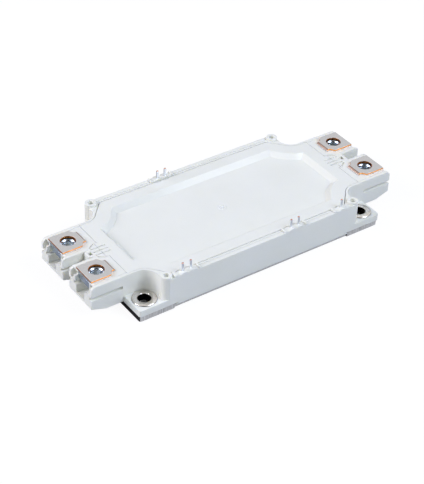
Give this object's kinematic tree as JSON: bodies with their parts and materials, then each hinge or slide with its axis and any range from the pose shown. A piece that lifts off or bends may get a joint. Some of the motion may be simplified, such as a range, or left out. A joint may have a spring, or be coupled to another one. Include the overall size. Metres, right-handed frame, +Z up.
{
  "type": "power semiconductor module",
  "caption": "Flat transistor power module with a metal baseplate, white moulded frame and dished lid, screw terminals on end arms and upright control pins.",
  "frame": {"origin": "middle of the baseplate's underside", "axes": "+X along the module towards the output terminals, +Y across it, +Z up from the heat sink"},
  "size_m": [0.152, 0.0624, 0.0205],
  "materials": {
    "white_plastic": "fine moulded texture",
    "nickel_on_copper": "satin nickel plating",
    "nickel_on_steel": "bright nickel plating",
    "zinc_on_steel": "blue-passivated zinc",
    "tin_on_copper": "satin tin plating",
    "tinned_wire": "tinned",
    "alumina": "fired ceramic",
    "bare_copper": "bare copper",
    "silicon": "metallised silicon",
    "aluminium_wire": "drawn wire",
    "sensor_ceramic": "fired ceramic",
    "gel": "clear soft gel"
  },
  "bodies": {
    "root": {"baseplate": "nickel_on_copper", "bond_wires_1": "aluminium_wire", "bond_wires_2": "aluminium_wire", "bond_wires_3": "aluminium_wire", "control_pin_1": "tinned_wire", "control_pin_2": "tinned_wire", "control_pin_3": "tinned_wire", "control_pin_4": "tinned_wire", "control_pin_5": "tinned_wire", "control_pin_6": "tinned_wire", "control_pin_7": "tinned_wire", "copper_tracks_1": "bare_copper", "copper_tracks_2": "bare_copper", "copper_tracks_3": "bare_copper", "diode_chip_1": "silicon", "diode_chip_2": "silicon", "diode_chip_3": "silicon", "diode_chip_4": "silicon", "diode_chip_5": "silicon", "diode_chip_6": "silicon", "housing_frame": "white_plastic", "igbt_chip_1": "silicon", "igbt_chip_2": "silicon", "igbt_chip_3": "silicon", "igbt_chip_4": "silicon", "igbt_chip_5": "silicon", "igbt_chip_6": "silicon", "lid": "white_plastic", "link_minus_1": "bare_copper", "link_minus_2": "bare_copper", "link_output_1": "bare_copper", "link_output_2": "bare_copper", "link_plus_1": "bare_copper", "link_plus_2": "bare_copper", "mounting_bush_1": "nickel_on_steel", "mounting_bush_2": "nickel_on_steel", "mounting_bush_3": "nickel_on_steel", "mounting_bush_4": "nickel_on_steel", "pin_strip_1": "white_plastic", "pin_strip_2": "white_plastic", "pin_strip_3": "white_plastic", "pin_strip_4": "white_plastic", "pin_wires": "aluminium_wire", "silicone_gel": "gel", "substrate_ceramic_1": "alumina", "substrate_ceramic_2": "alumina", "substrate_ceramic_3": "alumina", "substrate_copper_1": "bare_copper", "substrate_copper_2": "bare_copper", "substrate_copper_3": "bare_copper", "terminal_minus": "tin_on_copper", "terminal_nuts": "zinc_on_steel", "terminal_output_a": "tin_on_copper", "terminal_output_b": "tin_on_copper", "terminal_plus": "tin_on_copper", "thermistor": "sensor_ceramic"}
  },
  "joints": []
}
